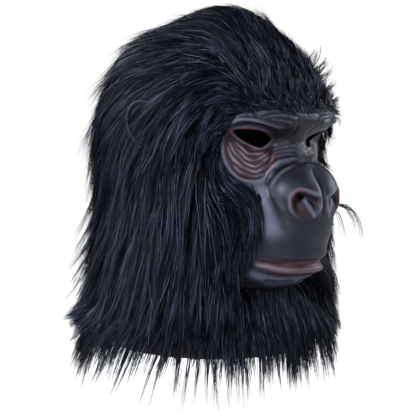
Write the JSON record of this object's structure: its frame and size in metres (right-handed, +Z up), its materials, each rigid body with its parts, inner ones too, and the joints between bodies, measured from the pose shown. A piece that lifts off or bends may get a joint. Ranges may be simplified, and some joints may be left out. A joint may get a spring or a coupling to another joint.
{
  "type": "gorilla mask",
  "caption": "Overhead latex gorilla mask with moulded face, eye holes and ears, under a long-pile fur hood and beard that hang past its neck rim.",
  "frame": {"origin": "inside of the crown, where the top of the wearer's head bears", "axes": "+Z up out of the crown, -Y out of the face, +X towards the wearer's left ear"},
  "size_m": [0.2536, 0.3109, 0.3785],
  "materials": {
    "latex": "satin black latex with grey drybrushed folds, red-brown eye bags and pink-brown lips",
    "hood_fur": "glossy black long-pile artificial fur",
    "beard_fur": "glossy black long-pile artificial fur"
  },
  "bodies": {
    "root": {"latex_head": "latex", "fur_hood": "hood_fur", "fur_beard": "beard_fur"}
  },
  "joints": []
}
